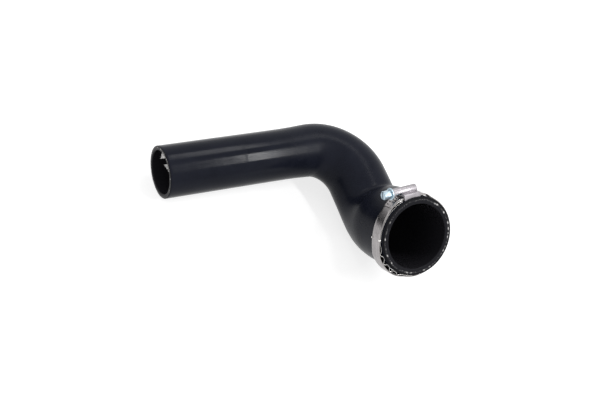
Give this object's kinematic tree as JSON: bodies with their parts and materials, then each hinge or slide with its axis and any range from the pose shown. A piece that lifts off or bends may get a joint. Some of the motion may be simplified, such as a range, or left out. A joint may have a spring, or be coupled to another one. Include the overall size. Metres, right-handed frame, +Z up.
{
  "type": "turbo hose",
  "caption": "Moulded rubber turbo hose with a tapered double bend, a wide cuff and a worm-drive clamp with a spring insert on the cuff",
  "frame": {"origin": "middle of the object's outline, on the surface that it lies on", "axes": "+X runs with the small inlet from its mouth towards the first bend, +Z is up, as the hose lies at rest; the cuff opens towards -Y and up"},
  "size_m": [0.2292, 0.1844, 0.1063],
  "materials": {
    "hose": "satin cloth-wrapped black rubber",
    "clamp_band": "rolled bright steel",
    "clamp_housing": "pressed bright steel",
    "clamp_screw": "bright zinc plate",
    "clamp_spring_insert": "bright spring steel"
  },
  "bodies": {
    "hose_and_clamp": {"hose": "hose", "clamp_band": "clamp_band", "clamp_housing": "clamp_housing", "clamp_spring_insert": "clamp_spring_insert"},
    "screw": {"clamp_screw": "clamp_screw"}
  },
  "joints": [
    {"name": "screw_turn", "type": "hinge", "parent": "hose_and_clamp", "child": "screw", "pos_m": [0.06882, -0.0342, 0.10145], "axis": [0.9849, 0.0074, 0.1729], "range_deg": [-3600, 1080]}
  ]
}
